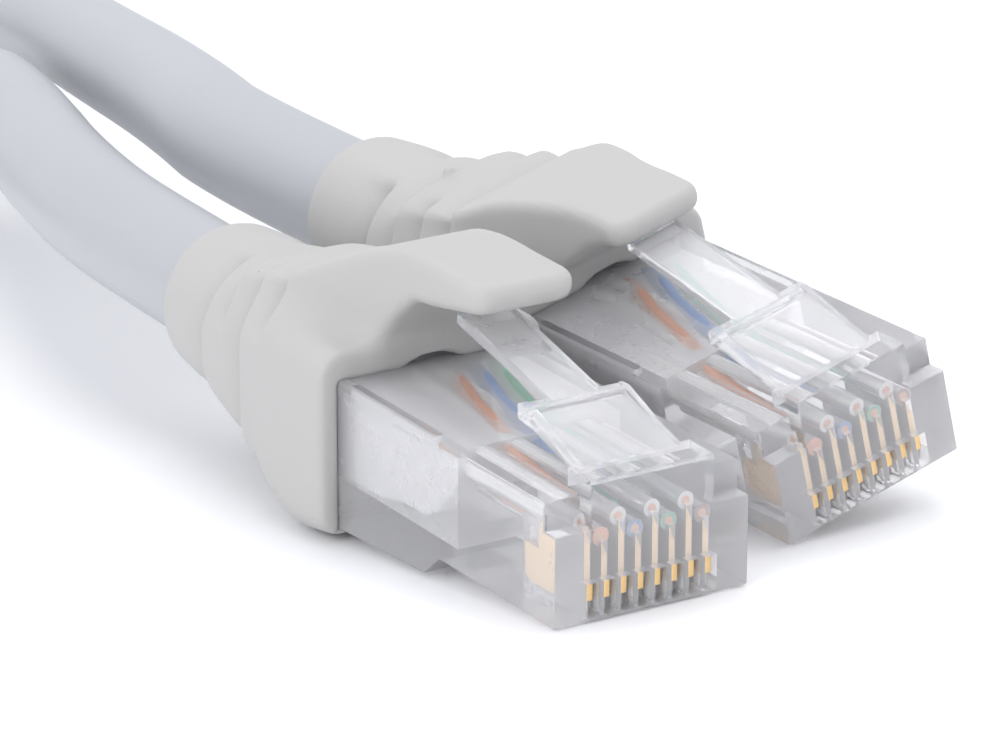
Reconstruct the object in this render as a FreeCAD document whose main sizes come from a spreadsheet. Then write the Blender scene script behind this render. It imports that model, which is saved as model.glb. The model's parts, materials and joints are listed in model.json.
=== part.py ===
"""Ethernet patch cable: two clear 8-position plugs with soft grey boots on one round cable.

Units are millimetres.  Each plug is modelled in its own plug axes and then set down in the row frame:
    plug axes: +X out of the nose, +Y across the pins, +Z from the contact side to the latch side,
               the nose's lower front edge at the origin
    row frame: +X the way plug A points, +Z up, z = 0 the surface the cable lies on, and the origin
               under the middle of the two plugs and boots
"""
import FreeCAD, Part
import math
import os

import Sketcher
from FreeCAD import Placement, Rotation, Vector

# ---------------------------------------------------------------- driving dimensions
SIZES = [
    # clear plug housing
    ("plug_width", 11.68, "width of a standard 8-position modular plug"),
    ("plug_top", 6.6, "latch-side face above the contact side"),
    ("plug_length", 23.0, "nose to the rear edge, which the boot covers"),
    ("boot_seat", 1.5, "how far the plug sits inside the boot"),
    ("nose_top", 5.0, "height of the front lip"),
    ("nose_step", 1.06, "set-back of the face above the front lip"),
    ("keel_start", 11.2, "where the thicker rear part begins"),
    ("keel_ramp", 1.6, "length of the ramp down to the thicker part"),
    ("keel_depth", 1.3, "drop of the thicker part at its front"),
    ("keel_rear_depth", 1.9, "drop of the thicker part at the boot"),
    ("root_width", 7.4, "block on the nose that the latch grows from"),
    ("root_low", 4.55, "lower edge of that block"),
    ("root_top", 7.7, "top of that block"),
    ("root_depth", 1.9, "front to back of that block"),
    # hollow of the housing
    ("cavity_width", 9.4, "rear hollow, across"),
    ("cavity_floor", 0.7, "rear hollow, underside"),
    ("cavity_roof", 5.75, "rear hollow and guide pocket, top"),
    ("cavity_front", 10.4, "front end of the rear hollow"),
    ("pocket_front", 5.2, "front end of the wire guide's pocket"),
    ("pocket_width", 8.8, "wire guide's pocket, across"),
    ("pocket_floor", 3.3, "wire guide's pocket, underside"),
    ("guide_gap", 0.05, "clearance round the wire guide"),
    # contacts
    ("pin_pitch", 1.02, "contact to contact"),
    ("slot_width", 0.42, "contact slot in the housing"),
    ("slot_front", 0.7, "front end of the slots"),
    ("slot_rear", 4.95, "rear end of the slots"),
    ("window_width", 0.62, "slot's wider mouth in the nose"),
    ("window_low", 0.25, "lower edge of that mouth"),
    ("window_high", 2.1, "upper edge of that mouth"),
    ("contact_thick", 0.34, "contact blade"),
    ("contact_crown", 1.0, "contact's outer edge above the contact side"),
    ("contact_front", 0.76, "contact's front edge behind the nose"),
    ("contact_heel", 4.8, "contact's rear edge behind the nose"),
    ("tooth_bite", 0.2, "depth of the teeth in the insulation"),
    ("tooth_height", 0.5, "height of the piercing teeth"),
    # conductors
    ("wire_radius", 0.48, "insulation"),
    ("core_radius", 0.26, "copper"),
    ("wire_gap", 0.02, "clearance round a conductor in its hole"),
    ("wire_front", 1.15, "cut ends behind the nose"),
    ("wire_straight", 11.2, "where the conductors leave the wire guide"),
    ("lower_row", 4.15, "height of the even conductors"),
    ("upper_row", 5.05, "height of the odd conductors"),
    ("bundle_radius", 1.75, "ring of conductors at the jacket's end"),
    ("bundle_lead", 4.5, "level stretch of the conductors ahead of the jacket"),
    # latch
    ("latch_width", 6.1, "wide locking part"),
    ("arm_width", 3.3, "narrow lever"),
    ("latch_gap", 0.25, "latch to its root block"),
    ("latch_low", 6.95, "underside of the latch at its root"),
    ("latch_thick", 0.8, "locking part"),
    ("shoulder_reach", 7.3, "locking shoulders behind the nose"),
    ("shoulder_low", 8.46, "underside at the shoulders"),
    ("tip_reach", 16.4, "lever's free end behind the nose"),
    ("tip_low", 10.58, "underside of the free end"),
    ("tip_thick", 0.69, "lever"),
    # cable
    ("cable_radius", 3.5, "jacket"),
    ("cable_height", 3.6, "cable's axis above the contact side"),
    ("jacket_setback", 3.0, "where the jacket is stripped, behind the plug's rear edge"),
    # boot
    ("boot_width", 14.2, "boot at its front"),
    ("boot_top", 8.2, "top of the boot's front"),
    ("boot_low", -2.2, "underside of the boot's front"),
    ("boot_belly", -3.1, "lowest point of the boot"),
    ("boot_length", 22.5, "boot, front to rear"),
    ("boot_end_radius", 4.4, "boot's rear ring"),
    ("rib_depth", 0.55, "grooves of the flexible rear part"),
    ("rib_width", 0.7, "grooves of the flexible rear part"),
    # hood, the soft tab over the latch
    ("hood_width", 6.2, "hood, across"),
    ("hood_thick", 1.1, "hood at its free end"),
    ("hood_setback", 1.5, "bending line behind the plug's rear edge"),
    ("hood_pivot_z", 9.9, "bending line above the contact side"),
    ("hood_root", 12.0, "top of the hood at its root"),
    ("hood_gap", 0.4, "hood to the boot at the bending line"),
    ("hood_reach_a", 11.8, "free end of hood A behind the nose"),
    ("hood_height_a", 14.1, "top of hood A at its free end"),
    ("hood_reach_b", 15.0, "free end of hood B behind the nose"),
    ("hood_height_b", 13.1, "top of hood B at its free end"),
]

PIN_COLOURS = [
    "white_orange", "orange", "white_green", "blue",
    "white_blue", "green", "white_brown", "brown",
]
WIRE_BEND_REACH = 0.8    # length of a conductor's bend, each side of its corner
RIB_STATIONS = [(5.8, -1.0), (8.7, 1.0), (11.6, -1.0), (14.5, 3.0)]  # ahead of the boot's rear, lower end

document = FreeCAD.newDocument("ethernet_patch_cable")
sheet = document.addObject("Spreadsheet::Sheet", "sizes")
for row, (alias, value, meaning) in enumerate(SIZES, start=1):
    sheet.set(f"A{row}", meaning)
    sheet.set(f"B{row}", str(value))
    sheet.setAlias(f"B{row}", alias)
document.recompute()

nodes = {}


def size(alias):
    """A driving dimension, read back from the sheet."""
    return float(getattr(sheet, alias))


# ---------------------------------------------------------------- helpers
def outline(body, plane, corners):
    """A closed polygon on one of the body's own planes; every corner is held by sheet expressions."""
    sketch = body.newObject("Sketcher::SketchObject", body.Name + "_outline")
    base = next(f for f in body.Origin.OriginFeatures if f.Role == plane)
    sketch.AttachmentSupport = (base, "")
    sketch.MapMode = "FlatFace"
    count = len(corners)
    ring = [
        Vector(math.cos(2 * math.pi * i / count), math.sin(2 * math.pi * i / count), 0)
        for i in range(count)
    ]
    for i in range(count):
        sketch.addGeometry(Part.LineSegment(ring[i], ring[(i + 1) % count]))
    for i in range(count):
        sketch.addConstraint(Sketcher.Constraint("Coincident", i, 2, (i + 1) % count, 1))
    for i, corner in enumerate(corners):
        for kind, expression in zip(("DistanceX", "DistanceY"), corner):
            index = sketch.addConstraint(Sketcher.Constraint(kind, -1, 1, i, 1, 0.1))
            sketch.setExpression(f"Constraints[{index}]", expression)
    return sketch


def padded(name, corners, width):
    """A body made of one side outline padded evenly to both sides of the plug's middle plane."""
    body = document.addObject("PartDesign::Body", name)
    pad = body.newObject("PartDesign::Pad", name + "_pad")
    pad.Profile = outline(body, "XZ_Plane", corners)
    pad.setExpression("Length", width)
    pad.Midplane = True
    return body


def block(name, x, y, z, length, width, height):
    """A box whose corner and sides are sheet expressions."""
    box = document.addObject("Part::Box", name)
    for axis, expression in zip("xyz", (x, y, z)):
        box.setExpression(f".Placement.Base.{axis}", expression)
    box.setExpression("Length", length)
    box.setExpression("Width", width)
    box.setExpression("Height", height)
    return box


def rod(name, x, y, z, radius, length):
    """A cylinder that lies along the plug, from x backwards to x + length forwards."""
    cylinder = document.addObject("Part::Cylinder", name)
    cylinder.Placement = Placement(Vector(), Rotation(Vector(0, 1, 0), 90))
    for axis, expression in zip("xyz", (x, y, z)):
        cylinder.setExpression(f".Placement.Base.{axis}", expression)
    cylinder.setExpression("Radius", radius)
    cylinder.setExpression("Height", length)
    return cylinder


def joined(name, pieces):
    fuse = document.addObject("Part::MultiFuse", name)
    fuse.Shapes = pieces
    return fuse


def cut(name, base, tool):
    result = document.addObject("Part::Cut", name)
    result.Base = base
    result.Tool = tool
    return result


def shaped(name, shape):
    feature = document.addObject("Part::Feature", name)
    feature.Shape = shape
    return feature


def keep(node, piece, placement):
    """Registers a finished sub-part under its node name, standing where it belongs."""
    piece.Label = node
    piece.Placement = placement
    nodes[node] = piece


def route_edges(points, longest_reach=math.inf):
    """Straight runs joined by tangent arcs, each arc as large as its two runs allow."""
    edges, radii, start = [], [], points[0]
    for before, corner, after in zip(points, points[1:], points[2:]):
        back, ahead = (before - corner), (after - corner)
        turn = math.pi - back.getAngle(ahead)
        reach = min(0.45 * min(back.Length, ahead.Length), longest_reach)
        radius = reach / math.tan(turn / 2)
        radii.append(radius)
        back.normalize()
        ahead.normalize()
        enter, leave = corner + back * reach, corner + ahead * reach
        middle_way = (back + ahead).normalize()
        middle = corner + middle_way * (radius / math.cos(turn / 2) - radius)
        edges.append(Part.LineSegment(start, enter).toShape())
        edges.append(Part.Arc(enter, middle, leave).toShape())
        start = leave
    edges.append(Part.LineSegment(start, points[-1]).toShape())
    return edges, radii


def tube(edges, radius):
    """A round solid along edges that run on from each other, with their length."""
    path = Part.Wire(edges)
    way = edges[0].tangentAt(edges[0].FirstParameter)
    section = Part.Wire([Part.Circle(edges[0].valueAt(edges[0].FirstParameter), way, radius).toShape()])
    return path.makePipeShell([section], True, False), path.Length


def rounded_section(x, half_width, low, high, corner):
    """A closed rounded rectangle across the plug at x."""
    corner = min(corner, half_width - 0.05, (high - low) / 2 - 0.05)
    middles = [
        (half_width - corner, high - corner, 0),
        (-half_width + corner, high - corner, 90),
        (-half_width + corner, low + corner, 180),
        (half_width - corner, low + corner, 270),
    ]
    places = []
    for y, z, start in middles:
        for angle in (start, start + 45, start + 90):
            turn = math.radians(angle)
            places.append(Vector(x, y + corner * math.cos(turn), z + corner * math.sin(turn)))
    edges = []
    for i in range(0, 12, 3):
        edges.append(Part.Arc(places[i], places[i + 1], places[i + 2]).toShape())
        edges.append(Part.LineSegment(places[i + 2], places[(i + 3) % 12]).toShape())
    return Part.Wire(edges)


# ---------------------------------------------------------------- one plug end
# Stations behind the nose that follow from the plug's length, as sheet expressions and as numbers.
JACKET_END = "(sizes.plug_length + sizes.jacket_setback)"
BOOT_END = "(sizes.plug_length - sizes.boot_seat + sizes.boot_length)"
HOOD_PIVOT = "(sizes.plug_length + sizes.hood_setback)"


def jacket_end():
    return size("plug_length") + size("jacket_setback")


def boot_end():
    return size("plug_length") - size("boot_seat") + size("boot_length")


def hood_pivot():
    return size("plug_length") + size("hood_setback")


def pin_y(pin):
    return f"{pin - 4.5} * sizes.pin_pitch"


def pin_row(pin):
    return "sizes.upper_row" if pin % 2 else "sizes.lower_row"


def plug_housing(end):
    """Clear moulding: nose, latch root, rear hollow, guide pocket, conductor holes, contact slots."""
    shell = padded(
        f"housing_outline_{end}",
        [
            ("0", "0"),
            ("0", "sizes.nose_top"),
            ("-sizes.nose_step", "sizes.nose_top"),
            ("-sizes.nose_step", "sizes.plug_top"),
            ("-sizes.plug_length", "sizes.plug_top"),
            ("-sizes.plug_length", "-sizes.keel_rear_depth"),
            ("-sizes.keel_start - sizes.keel_ramp", "-sizes.keel_depth"),
            ("-sizes.keel_start", "0"),
        ],
        "sizes.plug_width",
    )
    root = block(
        f"latch_root_{end}", "-sizes.root_depth", "-sizes.root_width / 2", "sizes.root_low",
        "sizes.root_depth", "sizes.root_width", "sizes.root_top - sizes.root_low",
    )
    hollow = [
        block(
            f"rear_hollow_{end}", "-sizes.plug_length - 1", "-sizes.cavity_width / 2",
            "sizes.cavity_floor", "sizes.plug_length + 1 - sizes.cavity_front",
            "sizes.cavity_width", "sizes.cavity_roof - sizes.cavity_floor",
        ),
        block(
            f"guide_pocket_{end}", "-sizes.cavity_front - 0.1", "-sizes.pocket_width / 2",
            "sizes.pocket_floor", "sizes.cavity_front + 0.1 - sizes.pocket_front",
            "sizes.pocket_width", "sizes.cavity_roof - sizes.pocket_floor",
        ),
    ]
    for pin in range(1, 9):
        hollow.append(rod(
            f"wire_hole_{pin}_{end}", "-sizes.pocket_front - 0.1", pin_y(pin), pin_row(pin),
            "sizes.wire_radius + sizes.wire_gap", "sizes.pocket_front + 0.1 - sizes.wire_front",
        ))
        hollow.append(block(
            f"contact_slot_{pin}_{end}", "-sizes.slot_rear",
            f"{pin_y(pin)} - sizes.slot_width / 2", "-1",
            "sizes.slot_rear - sizes.slot_front", "sizes.slot_width", f"{pin_row(pin)} + 1",
        ))
        hollow.append(block(
            f"contact_window_{pin}_{end}", "-sizes.slot_front - 0.05",
            f"{pin_y(pin)} - sizes.window_width / 2", "sizes.window_low",
            "sizes.slot_front + 1", "sizes.window_width", "sizes.window_high - sizes.window_low",
        ))
    solid = joined(f"housing_solid_{end}", [shell, root])
    return cut(f"plug_housing_{end}", solid, joined(f"housing_hollow_{end}", hollow))


def wire_guide(end):
    """Insert that holds the eight conductors in two staggered rows."""
    bar = block(
        f"guide_bar_{end}", "-sizes.cavity_front + sizes.guide_gap",
        "-sizes.pocket_width / 2 + sizes.guide_gap", "sizes.pocket_floor + sizes.guide_gap",
        "sizes.cavity_front - sizes.pocket_front - 2 * sizes.guide_gap",
        "sizes.pocket_width - 2 * sizes.guide_gap",
        "sizes.cavity_roof - sizes.pocket_floor - 2 * sizes.guide_gap",
    )
    holes = [
        rod(
            f"guide_hole_{pin}_{end}", "-sizes.cavity_front - 1", pin_y(pin), pin_row(pin),
            "sizes.wire_radius + sizes.wire_gap", "sizes.cavity_front + 2 - sizes.pocket_front",
        )
        for pin in range(1, 9)
    ]
    return cut(f"wire_guide_{end}", bar, joined(f"guide_holes_{end}", holes))


def contact(end, pin):
    """Gold-plated blade with two teeth that pierce the conductor above it."""
    top = f"{pin_row(pin)} - sizes.wire_radius + sizes.tooth_bite"
    valley = f"{top} - sizes.tooth_height"
    front, heel = "-sizes.contact_front", "-sizes.contact_heel"
    return padded(
        f"contact_{pin}_{end}",
        [
            (front, "sizes.contact_crown + 0.3"),
            (f"{front} - 0.3", "sizes.contact_crown"),
            (f"{heel} + 0.4", "sizes.contact_crown"),
            (heel, "sizes.contact_crown + 0.4"),
            (heel, "sizes.contact_crown + 2"),
            (f"{heel} + 1.3", "sizes.contact_crown + 2"),
            (f"{heel} + 1.3", valley),
            (f"{heel} + 1.7", top),
            (f"{heel} + 2.1", valley),
            (f"{front} - 0.95", valley),
            (f"{front} - 0.55", top),
            (f"{front} - 0.15", valley),
            (front, f"{valley} - 0.15"),
        ],
        "sizes.contact_thick",
    )


def conductor_points(pin):
    """From the cut end, straight through the guide, then down into the jacket's ring of eight."""
    y = (pin - 4.5) * size("pin_pitch")
    row = size("upper_row") if pin % 2 else size("lower_row")
    place = (pin - 1) // 2
    angle = math.radians(157.5 - 45 * place if pin % 2 else 202.5 + 45 * place)
    ring_y = size("bundle_radius") * math.cos(angle)
    ring_z = size("cable_height") + size("bundle_radius") * math.sin(angle)
    return [
        Vector(-size("wire_front"), y, row),
        Vector(-size("wire_straight"), y, row),
        Vector(-(jacket_end() - size("bundle_lead")), ring_y, ring_z),
        Vector(-jacket_end(), ring_y, ring_z),
    ]


def core_rod(pin):
    points = conductor_points(pin)
    length = size("wire_straight") - size("wire_front") - 1.5
    return Part.makeCylinder(size("core_radius"), length, points[0], Vector(-1, 0, 0))


def conductor_solid(pin):
    edges, _ = route_edges(conductor_points(pin), WIRE_BEND_REACH)
    return tube(edges, size("wire_radius"))[0]


def conductor(pin):
    return conductor_solid(pin).cut(core_rod(pin))


def inner_mould(end):
    """Grey filling of the housing's rear hollow, moulded round the conductors."""
    body = padded(
        f"mould_outline_{end}",
        [
            (f"-{JACKET_END} + 0.5", "sizes.cavity_floor + sizes.guide_gap"),
            ("-sizes.plug_length + 3.5", "sizes.cavity_floor + 0.3"),
            ("-sizes.cavity_front - 3.6", "sizes.cavity_floor + 0.6"),
            ("-sizes.cavity_front - 1.9", "sizes.cavity_floor + 1.4"),
            ("-sizes.cavity_front - 0.3", "sizes.cavity_floor + 2.6"),
            ("-sizes.cavity_front - 0.3", "sizes.cavity_roof - sizes.guide_gap"),
            (f"-{JACKET_END} + 0.5", "sizes.cavity_roof - sizes.guide_gap"),
        ],
        "sizes.cavity_width - 2 * sizes.guide_gap",
    )
    channel = block(
        f"mould_channel_{end}", f"-{JACKET_END}", "-2.7", "sizes.upper_row - 0.6",
        f"{JACKET_END}", "6.2", "3",
    )
    removed = [channel]
    for pin in range(1, 9):
        removed.append(shaped(f"mould_wire_{pin}_{end}", conductor_solid(pin)))
    return cut(f"inner_mould_{end}", body, joined(f"mould_removed_{end}", removed))


def latch(end):
    """Clear spring lever: wide locking part with its shoulders, then the narrow lever."""
    root_x = "-sizes.root_depth - sizes.latch_gap"
    wide = padded(
        f"latch_wide_{end}",
        [
            (root_x, "sizes.latch_low"),
            (root_x, "sizes.latch_low + sizes.latch_thick"),
            ("-sizes.shoulder_reach", "sizes.shoulder_low + sizes.latch_thick"),
            ("-sizes.shoulder_reach", "sizes.shoulder_low"),
        ],
        "sizes.latch_width",
    )
    arm = padded(
        f"latch_arm_{end}",
        [
            ("-sizes.shoulder_reach + 0.5", "sizes.shoulder_low - 0.1"),
            ("-sizes.shoulder_reach + 0.5", "sizes.shoulder_low + sizes.latch_thick - 0.2"),
            ("-sizes.tip_reach", "sizes.tip_low + sizes.tip_thick"),
            ("-sizes.tip_reach", "sizes.tip_low"),
        ],
        "sizes.arm_width",
    )
    return joined(f"latch_{end}", [wide, arm])


def hood(end):
    """Soft tab that arches over the latch's free end and presses it."""
    reach, height = f"sizes.hood_reach_{end}", f"sizes.hood_height_{end}"
    pivot = f"-{HOOD_PIVOT}"
    thick = "sizes.hood_thick"
    return padded(
        f"hood_{end}",
        [
            (f"-{reach}", f"{height} - 0.3"),
            (f"-{reach} - 0.6", height),
            (f"{pivot} + 4.6", f"{height} - 0.15"),
            (f"{pivot} + 2", f"{height} * 0.6 + sizes.hood_root * 0.4"),
            (f"{pivot} - 0.7", "sizes.hood_root"),
            (f"{pivot} - 0.2", "sizes.hood_pivot_z - 1"),
            (f"{pivot} + 3.6", "sizes.hood_pivot_z - 0.6"),
            (f"{pivot} + 5", f"{height} - {thick} - 2.1"),
            (f"{pivot} + 6.7", f"{height} - {thick} - 1.2"),
            (f"-sizes.tip_reach - 0.4", f"{height} - {thick} - 0.75 * ({height} - 12.6)"),
            (f"-{reach} - 0.4", f"{height} - {thick}"),
            (f"-{reach}", f"{height} - {thick} + 0.2"),
        ],
        "sizes.hood_width",
    )


def boot_loft(inset):
    """Outer shape of the boot, made smaller all round by inset."""
    half, end = size("boot_width") / 2, boot_end()
    axis, ring = size("cable_height"), size("boot_end_radius")
    front = size("plug_length") - size("boot_seat")
    top, low, belly = size("boot_top"), size("boot_low"), size("boot_belly")
    stations = [  # behind the nose, half width, lower edge, upper edge, corner radius
        (front, half, low, top, 1.6),
        (front + 4, half, belly, top + 0.4, 2.2),
        (front + 10, half - 0.9, belly + 0.8, top + 0.9, 3.4),
        (end - 5.5, (half - 0.9 + ring) / 2, axis - ring - 0.6, top - 0.1, 4.6),
        (end, ring, axis - ring, axis + ring, ring),
    ]
    sections = [
        rounded_section(-x, w - inset, lo + inset, hi - inset, max(r - inset, 0.5))
        for x, w, lo, hi, r in stations
    ]
    return Part.makeLoft(sections, True, False)


def boot(end):
    """Soft grey boot: seat for the plug, cable bore, ribbed flexible rear, and the hood's root."""
    outer = shaped(f"boot_outer_{end}", boot_loft(0))
    lump = padded(
        f"hood_root_{end}",
        [
            (f"-{HOOD_PIVOT} - 0.7 - sizes.hood_gap", "sizes.boot_top - 1"),
            (f"-{HOOD_PIVOT} - 0.7 - sizes.hood_gap", "sizes.hood_root"),
            (f"-{HOOD_PIVOT} - 4", "sizes.hood_root - 1.5"),
            (f"-{HOOD_PIVOT} - 9", "sizes.boot_top + 0.9"),
            (f"-{HOOD_PIVOT} - 9", "sizes.boot_top - 1"),
        ],
        "sizes.hood_width",
    )
    inner = boot_loft(size("rib_depth"))
    removed = [
        block(
            f"plug_seat_{end}", "-sizes.plug_length", "-sizes.plug_width / 2",
            "-sizes.keel_rear_depth", "sizes.boot_seat + 1", "sizes.plug_width",
            "sizes.plug_top + sizes.keel_rear_depth",
        ),
        block(
            f"mould_seat_{end}", f"-{JACKET_END}", "-sizes.cavity_width / 2",
            "sizes.cavity_floor", f"{JACKET_END} - sizes.plug_length + 0.1",
            "sizes.cavity_width", "sizes.cavity_roof - sizes.cavity_floor",
        ),
        rod(
            f"cable_bore_{end}", f"-{BOOT_END} - 1", "0", "sizes.cable_height",
            "sizes.cable_radius", f"{BOOT_END} + 1 - {JACKET_END}",
        ),
        block(
            f"hood_relief_{end}", f"-{HOOD_PIVOT} - 0.7 - sizes.hood_gap",
            "-sizes.hood_width / 2 - sizes.hood_gap", "sizes.boot_top - 0.6",
            "8", "sizes.hood_width + 2 * sizes.hood_gap", "6",
        ),
    ]
    for count, (station, lower) in enumerate(RIB_STATIONS):
        slab = Part.makeBox(
            size("rib_width"), 40, 12,
            Vector(station - boot_end() - size("rib_width") / 2, -20, lower),
        )
        removed.append(shaped(f"rib_{count}_{end}", slab.cut(inner)))
    trimmed = cut(f"boot_trimmed_{end}", outer, joined(f"boot_removed_{end}", removed))
    return joined(f"boot_{end}", [trimmed, cut(
        f"root_trimmed_{end}", lump, rod(
            f"root_bore_{end}", f"-{BOOT_END}", "0", "sizes.cable_height",
            "sizes.cable_radius", f"{BOOT_END} - {JACKET_END}",
        ))])


def plug_end(end, placement):
    keep(f"plug_housing_{end}", plug_housing(end), placement)
    keep(f"wire_guide_{end}", wire_guide(end), placement)
    for pin in range(1, 9):
        blade = contact(end, pin)
        y = (pin - 4.5) * size("pin_pitch")
        keep(f"contact_{pin}_{end}", blade, placement * Placement(Vector(0, y, 0), Rotation()))
    for pin, colour in enumerate(PIN_COLOURS, start=1):
        wire = shaped(f"wire_{pin}_{end}", conductor(pin))
        keep(f"conductor_{colour}_{end}", wire, placement)
    cores = Part.makeCompound([core_rod(pin) for pin in range(1, 9)])
    keep(f"conductor_cores_{end}", shaped(f"cores_{end}", cores), placement)
    keep(f"inner_mould_{end}", inner_mould(end), placement)
    keep(f"latch_{end}", latch(end), placement)
    keep(f"boot_{end}", boot(end), placement)
    keep(f"hood_{end}", hood(end), placement)


# ---------------------------------------------------------------- where the two plugs lie
# Both plugs rest on the nose's lower edge and the boot's belly; plug B is also rolled over a little.
BELLY_SETBACK = 2.5      # the belly behind the plug's rear edge
plug_pitch = math.degrees(math.atan2(-size("boot_belly"), size("plug_length") + BELLY_SETBACK))
PLUG_B_SPOT = Vector(-4.5, 17.1, 1.5)   # from plug A's nose edge
PLUG_B_YAW = 4.3
PLUG_B_ROLL = 14.8
PLUG_B_TILT = 0.8        # its rear leans on boot A

# Middle of the footprint of both plugs and boots, from plug A's nose edge.
FOOTPRINT_MIDDLE = Vector(-23.6, 7.77, -0.074)

pitch = Rotation(Vector(0, 1, 0), plug_pitch)
place_a = Placement(-FOOTPRINT_MIDDLE, pitch)
place_b = Placement(
    PLUG_B_SPOT - FOOTPRINT_MIDDLE,
    Rotation(Vector(0, 0, 1), PLUG_B_YAW)
    * Rotation(Vector(0, 1, 0), PLUG_B_TILT)
    * pitch
    * Rotation(Vector(1, 0, 0), PLUG_B_ROLL),
)


# ---------------------------------------------------------------- cable
# The cable is one loop on the surface, with a run up to each boot.
# Points of its route from plug A's nose edge, on from boot A, round the loop, and on to boot B.
ROUTE_A = [(-70, 3.2, 11.0), (-89, 10.6, 11.4), (-106.5, 13.8, 9.2), (-123.5, 9.2, 6.6), (-136, -3, 4.6)]
ROUTE_LOOP = [
    (-143.5, -20, 3.6), (-157.5, -32.5, 3.6), (-175.5, -37, 3.6), (-193, -31.5, 3.6), (-205.5, -17.5, 3.6),
    (-208, 1.5, 3.6), (-201.5, 19.5, 3.6), (-187, 32.3, 3.7),
]
ROUTE_B = [(-168.5, 37.2, 4.6), (-147.5, 36.8, 8.2), (-123.5, 30.2, 11.2), (-99, 21, 12.4), (-76, 12.8, 13.0)]
BOOT_RUN = 10.0          # how far the first run goes on straight behind the boot


def boot_run(placement):
    """The cable's first two points at a plug: where its jacket ends, and behind the boot."""
    axis = size("cable_height")
    places = [Vector(-jacket_end(), 0, axis), Vector(-boot_end() - BOOT_RUN, 0, axis)]
    return [placement.multVec(p) for p in places]


def cable_piece(node, edges):
    solid, length = tube(edges, size("cable_radius"))
    keep(node, shaped(node + "_tube", solid), Placement())
    ideal = math.pi * size("cable_radius") ** 2 * length
    print(f"{node}: length {length:.1f}, volume {solid.Volume:.1f}, section times length {ideal:.1f}")


def cable():
    """The whole route in three pieces, which meet face to face where the loop begins and ends."""
    between = [Vector(*p) - FOOTPRINT_MIDDLE for p in ROUTE_A + ROUTE_LOOP + ROUTE_B]
    edges, radii = route_edges(boot_run(place_a) + between + boot_run(place_b)[::-1])
    print(f"cable radii: {[round(r, 1) for r in radii]}")
    loop_starts = 2 * (len(ROUTE_A) + 1) + 1
    loop_ends = loop_starts + 2 * len(ROUTE_LOOP)
    cable_piece("cable_run_a", edges[:loop_starts])
    cable_piece("cable_loop", edges[loop_starts:loop_ends])
    cable_piece("cable_run_b", edges[loop_ends:])


plug_end("a", place_a)
plug_end("b", place_b)
cable()

# ---------------------------------------------------------------- checks and files
document.recompute()
failed = [o.Name for o in document.Objects if {"Invalid", "Error"} & set(o.State)]
if failed:
    raise RuntimeError(f"these objects failed to build: {failed}")
for node, piece in nodes.items():
    if piece.Shape.isNull() or not piece.Shape.isValid() or not piece.Shape.Solids:
        raise RuntimeError(f"{node} has no valid solid")

corners = []
for node, piece in nodes.items():
    if not node.startswith("cable_"):
        corners += piece.Shape.tessellate(0.05)[0]
for axis in "xyz":
    values = [getattr(corner, axis) for corner in corners]
    print(f"plugs and boots, {axis}: {min(values):.3f} to {max(values):.3f}")
for end, placement in (("a", place_a), ("b", place_b)):
    spots = {
        "nose": Vector(0, 0, size("nose_top") / 2),
        "latch pivot": Vector(-size("root_depth"), 0, size("latch_low") + 0.3),
        "hood pivot": Vector(-hood_pivot(), 0, size("hood_pivot_z")),
        "boot exit": Vector(-boot_end(), 0, size("cable_height")),
    }
    for spot, place in spots.items():
        print(f"{spot} {end}: {tuple(round(v, 3) for v in placement.multVec(place))}")
    for axis, way in (("forward", Vector(1, 0, 0)), ("across", Vector(0, 1, 0))):
        print(f"{axis} {end}: {tuple(round(v, 5) for v in placement.Rotation.multVec(way))}")

os.makedirs("parts", exist_ok=True)
for node, piece in nodes.items():
    piece.Shape.exportStep(os.path.join("parts", node + ".step"))
print(f"{len(nodes)} sub-parts written")
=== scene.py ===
import json
import math

import bmesh
import bpy
import numpy as np
from mathutils import Matrix, Vector


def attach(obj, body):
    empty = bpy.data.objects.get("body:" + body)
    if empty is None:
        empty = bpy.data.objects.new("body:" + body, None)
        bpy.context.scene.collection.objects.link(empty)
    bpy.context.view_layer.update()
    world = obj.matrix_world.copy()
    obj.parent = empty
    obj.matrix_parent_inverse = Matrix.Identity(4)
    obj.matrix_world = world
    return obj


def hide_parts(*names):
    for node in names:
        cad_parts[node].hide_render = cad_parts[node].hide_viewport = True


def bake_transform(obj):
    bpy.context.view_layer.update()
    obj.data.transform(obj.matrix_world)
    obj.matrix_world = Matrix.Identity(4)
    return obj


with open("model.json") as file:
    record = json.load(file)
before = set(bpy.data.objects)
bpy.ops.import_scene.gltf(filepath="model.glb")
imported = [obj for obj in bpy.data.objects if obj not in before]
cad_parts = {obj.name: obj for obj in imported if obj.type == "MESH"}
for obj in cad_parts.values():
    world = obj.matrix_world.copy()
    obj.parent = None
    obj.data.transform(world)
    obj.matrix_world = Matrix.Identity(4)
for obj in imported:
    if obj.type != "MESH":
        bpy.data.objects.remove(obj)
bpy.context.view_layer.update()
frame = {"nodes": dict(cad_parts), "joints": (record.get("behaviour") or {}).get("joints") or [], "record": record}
record = frame["record"]

# Ethernet patch cable.  Pieces of a plug are made in plug axes, in millimetres: +X out of the nose,
# +Y across the pins, +Z from the contact side to the latch side, the nose's lower front edge at 0.
MM = 0.001
ENDS = "ab"
MOUNT_HEIGHT = 3.3       # the jack mount above the nose's lower edge


# ---------------------------------------------------------------- where the plugs lie
def plug_place(end):
    """Plug axes in millimetres to the row frame in metres."""
    mount = next(m for m in record["mounts"] if m["name"] == f"plug_{end}_jack_fit")
    hinge = next(j for j in frame["joints"] if j["name"] == f"hood_press_{end}")
    forward, across = Vector(mount["axis"]), Vector(hinge["axis"])
    up = forward.cross(across)
    nose = Vector(mount["pos_m"]) - up * MOUNT_HEIGHT * MM
    turn = Matrix((forward * MM, across * MM, up * MM)).transposed().to_4x4()
    return Matrix.Translation(nose) @ turn


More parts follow.
